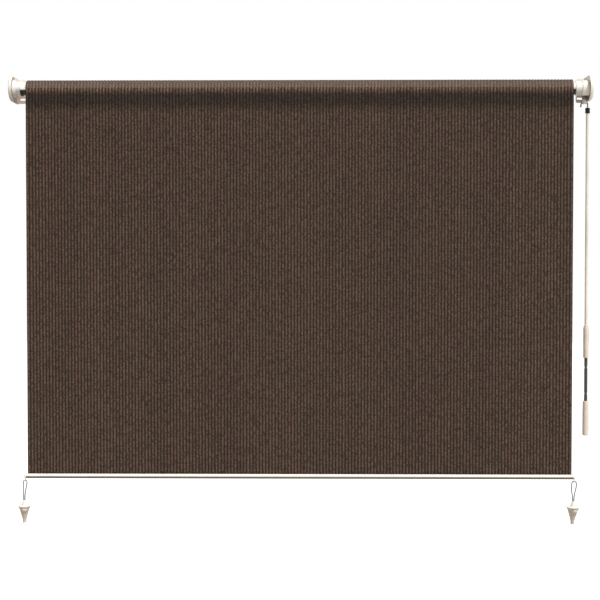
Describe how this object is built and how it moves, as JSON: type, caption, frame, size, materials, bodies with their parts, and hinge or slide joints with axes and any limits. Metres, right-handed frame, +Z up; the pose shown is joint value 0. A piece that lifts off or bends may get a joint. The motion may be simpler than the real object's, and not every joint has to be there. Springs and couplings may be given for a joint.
{
  "type": "roller shade",
  "caption": "Crank-operated outdoor roller shade: ribbed fabric rolling on a tube between wall brackets, with a worm gear, a folding crank wand, a bottom rail and hold-down cords.",
  "frame": {"origin": "centre of the four wall slots, on the wall's face and level with the roller's axis", "axes": "+X along the roller towards the crank, +Y into the wall, +Z up; the front faces -Y"},
  "size_m": [2.601, 0.1663, 2.0044],
  "materials": {
    "ivory_moulding": "smooth warm ivory moulding",
    "ivory_coating": "ivory powder coat",
    "tan_coating": "tan powder coat",
    "fabric": "knitted dark brown mesh with upright ribs",
    "dark_plastic": "dark moulding",
    "dark_steel": "dark coated steel",
    "steel": "zinc plated steel",
    "aluminium": "mill finish",
    "bronze": "sintered bronze",
    "nylon": "natural nylon",
    "cord": "grey elastic cord"
  },
  "bodies": {
    "wall_frame": {"left_bracket": "tan_coating", "right_bracket": "tan_coating", "left_end_cover": "ivory_moulding", "right_end_cover": "ivory_moulding", "idler_socket": "ivory_moulding", "idler_socket_screws": "steel", "idler_barrel": "ivory_moulding", "idler_pin": "steel", "idler_clip": "steel", "gear_housing": "ivory_coating", "gear_cover": "ivory_coating", "gear_housing_screws": "steel", "oil_plug": "steel", "upper_worm_bush": "bronze", "lower_worm_bush": "bronze", "fabric_sheet": "fabric"},
    "roller": {"left_end_plug": "ivory_moulding", "right_end_plug": "ivory_moulding", "roller_tube": "aluminium", "fabric_roll": "fabric", "drive_collar": "ivory_moulding", "collar_set_screws": "steel", "drive_shaft": "steel", "worm_wheel": "bronze", "idler_bush": "nylon"},
    "rail": {"bottom_rail": "ivory_coating", "left_rail_cap": "ivory_moulding", "right_rail_cap": "ivory_moulding", "hem_spline": "nylon"},
    "wand": {"worm_shaft": "steel", "crank_eye": "ivory_coating", "eye_pin": "steel", "hook": "dark_steel", "hook_ferrule": "dark_plastic", "wand_rod": "ivory_coating", "grip_stop": "ivory_moulding", "upper_fork": "dark_plastic", "upper_knuckle_pin": "steel"},
    "grip": {"upper_grip": "ivory_moulding"},
    "crank": {"crank_arm": "dark_steel"},
    "handle": {"lower_fork": "dark_plastic", "lower_knuckle_pin": "steel"},
    "handle_sleeve": {"lower_grip": "ivory_moulding"},
    "left_hold_down": {"left_cord": "cord", "left_cord_ferrule": "ivory_moulding", "left_anchor": "ivory_moulding"},
    "right_hold_down": {"right_cord": "cord", "right_cord_ferrule": "ivory_moulding", "right_anchor": "ivory_moulding"}
  },
  "joints": [
    {"name": "roller_turn", "type": "hinge", "parent": "wall_frame", "child": "roller", "pos_m": [0, -0.1, 0], "axis": [-1, 0, 0], "range_deg": [0, 2475]},
    {"name": "rail_lift", "type": "slide", "parent": "wall_frame", "child": "rail", "axis": [0, 0, 1], "range_m": [0, 1.64149], "deforming": ["fabric_sheet"]},
    {"name": "worm_turn", "type": "hinge", "parent": "wall_frame", "child": "wand", "pos_m": [1.2725, -0.0795, 0], "axis": [0, 0, 1], "range_deg": [0, 19800]},
    {"name": "grip_spin", "type": "hinge", "parent": "wand", "child": "grip", "pos_m": [1.287, -0.0795, -1.14], "axis": [0, 0, 1], "continuous": true},
    {"name": "upper_knuckle", "type": "hinge", "parent": "wand", "child": "crank", "pos_m": [1.287, -0.0795, -1.2445], "axis": [0, -1, 0], "range_deg": [0, 90]},
    {"name": "lower_knuckle", "type": "hinge", "parent": "crank", "child": "handle", "pos_m": [1.287, -0.0795, -1.374], "axis": [0, 1, 0], "range_deg": [0, 90]},
    {"name": "handle_spin", "type": "hinge", "parent": "handle", "child": "handle_sleeve", "pos_m": [1.287, -0.0795, -1.47], "axis": [0, 0, 1], "continuous": true},
    {"name": "left_hold_down_swing", "type": "hinge", "parent": "rail", "child": "left_hold_down", "pos_m": [-1.2365, -0.13897, -1.7557], "axis": [-1, 0, 0], "range_deg": [-35, 80]},
    {"name": "right_hold_down_swing", "type": "hinge", "parent": "rail", "child": "right_hold_down", "pos_m": [1.2265, -0.13897, -1.7557], "axis": [-1, 0, 0], "range_deg": [-35, 80]}
  ],
  "couplings": [
    {"joint": "rail_lift", "follows": "roller_turn", "m_per_rad": 0.038},
    {"joint": "worm_turn", "follows": "roller_turn", "ratio": 8}
  ]
}
